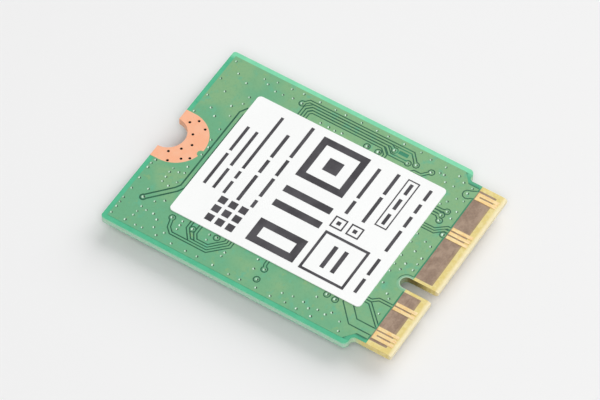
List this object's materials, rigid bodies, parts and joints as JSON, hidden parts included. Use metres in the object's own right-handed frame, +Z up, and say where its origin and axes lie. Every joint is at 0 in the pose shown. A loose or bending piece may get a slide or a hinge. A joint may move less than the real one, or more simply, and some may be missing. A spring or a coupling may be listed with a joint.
{
  "type": "laptop wifi card",
  "caption": "Small wireless card for a laptop: keyed edge connector, half hole for a screw at the far end, printed label on the upper side, metal shield over the parts beneath.",
  "frame": {"origin": "centre of the card's footprint, on the surface that the shield lid rests on", "axes": "+Z up with the label side up, +Y along the card towards the screw half hole, +X across the card; the edge connector points to -Y"},
  "size_m": [0.022, 0.03, 0.0024],
  "materials": {
    "laminate": "satin",
    "inner_copper": "satin",
    "mask_edge": "gloss",
    "mask_over_copper": "gloss",
    "bare_copper": "satin",
    "via_dark": "matt",
    "gold": "polished",
    "label_paper": "matt",
    "label_ink": "matt",
    "shield_lid_steel": "satin",
    "shield_frame_steel": "satin",
    "chip_resin": "matt",
    "tinned_leads": "satin",
    "thermal_pad": "matt",
    "crystal_ceramic": "matt",
    "crystal_lid": "satin",
    "ferrite": "matt",
    "filter_ceramic": "matt",
    "capacitor_ceramic": "matt",
    "resistor_glaze": "gloss",
    "receptacle_plastic": "matt"
  },
  "bodies": {
    "root": {"circuit_board": "laminate", "ground_plane_label_side": "inner_copper", "ground_plane_parts_side": "inner_copper", "solder_mask_label_side": "mask_edge", "solder_mask_parts_side": "mask_over_copper", "copper_pour_label_side": "mask_over_copper", "screw_pad_label_side": "bare_copper", "screw_pad_parts_side": "bare_copper", "screw_pad_vias": "via_dark", "power_contacts_label_side": "gold", "signal_contacts_label_side": "gold", "ground_contact_label_side": "gold", "ground_contacts_parts_side": "gold", "usb_contacts_parts_side": "gold", "bus_contacts_parts_side": "gold", "sideband_contacts_parts_side": "gold", "label": "label_paper", "label_print": "label_ink", "shield_lid": "shield_lid_steel", "shield_frame": "shield_frame_steel", "radio_chip": "chip_resin", "radio_chip_leads": "tinned_leads", "thermal_pad": "thermal_pad", "crystal_case": "crystal_ceramic", "crystal_lid": "crystal_lid", "memory_chip": "chip_resin", "regulator_chip": "chip_resin", "small_chip_leads": "tinned_leads", "power_inductors": "ferrite", "power_inductor_ends": "tinned_leads", "front_end_modules": "chip_resin", "front_end_leads": "tinned_leads", "antenna_filters": "filter_ceramic", "antenna_filter_ends": "tinned_leads", "capacitors": "capacitor_ceramic", "capacitor_ends": "tinned_leads", "resistors": "resistor_glaze", "resistor_ends": "tinned_leads", "left_receptacle_base": "receptacle_plastic", "left_receptacle_shell": "gold", "left_receptacle_pin": "gold", "right_receptacle_base": "receptacle_plastic", "right_receptacle_shell": "gold", "right_receptacle_pin": "gold"}
  },
  "joints": []
}
